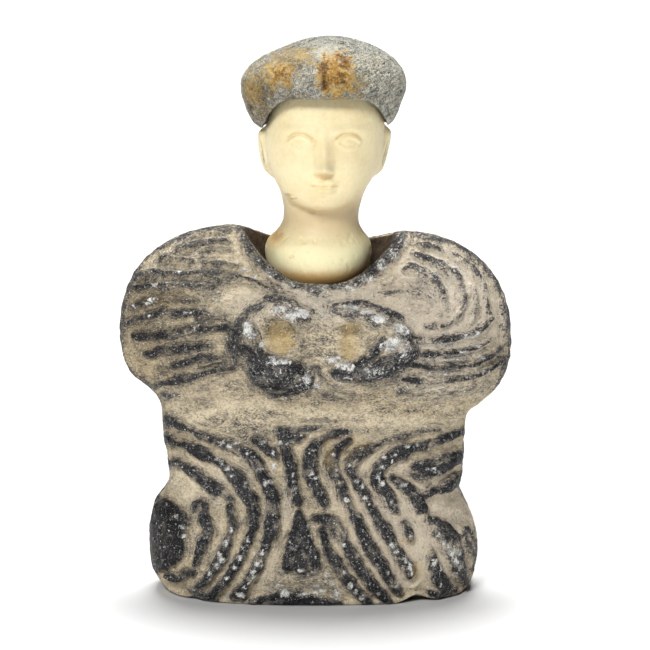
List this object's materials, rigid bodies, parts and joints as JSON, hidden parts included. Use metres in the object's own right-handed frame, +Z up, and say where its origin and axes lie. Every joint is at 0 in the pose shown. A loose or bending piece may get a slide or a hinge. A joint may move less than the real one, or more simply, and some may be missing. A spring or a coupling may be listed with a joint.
{
  "type": "stone idol",
  "caption": "Seated figure in carved dark stone with broad shoulders and grooved robe, a pale stone head on a flared foot set in the neck, and a rounded grey stone cap.",
  "frame": {"origin": "centre of the bounding box at the height of the underside the figure stands on", "axes": "+Z up, -Y the way the figure faces, +X to the viewer's right"},
  "size_m": [0.0784, 0.0361, 0.1118],
  "materials": {
    "dark_stone": "matte",
    "pale_stone": "satin",
    "grey_stone": "matte"
  },
  "bodies": {
    "root": {"body": "dark_stone", "head": "pale_stone", "cap": "grey_stone"}
  },
  "joints": []
}
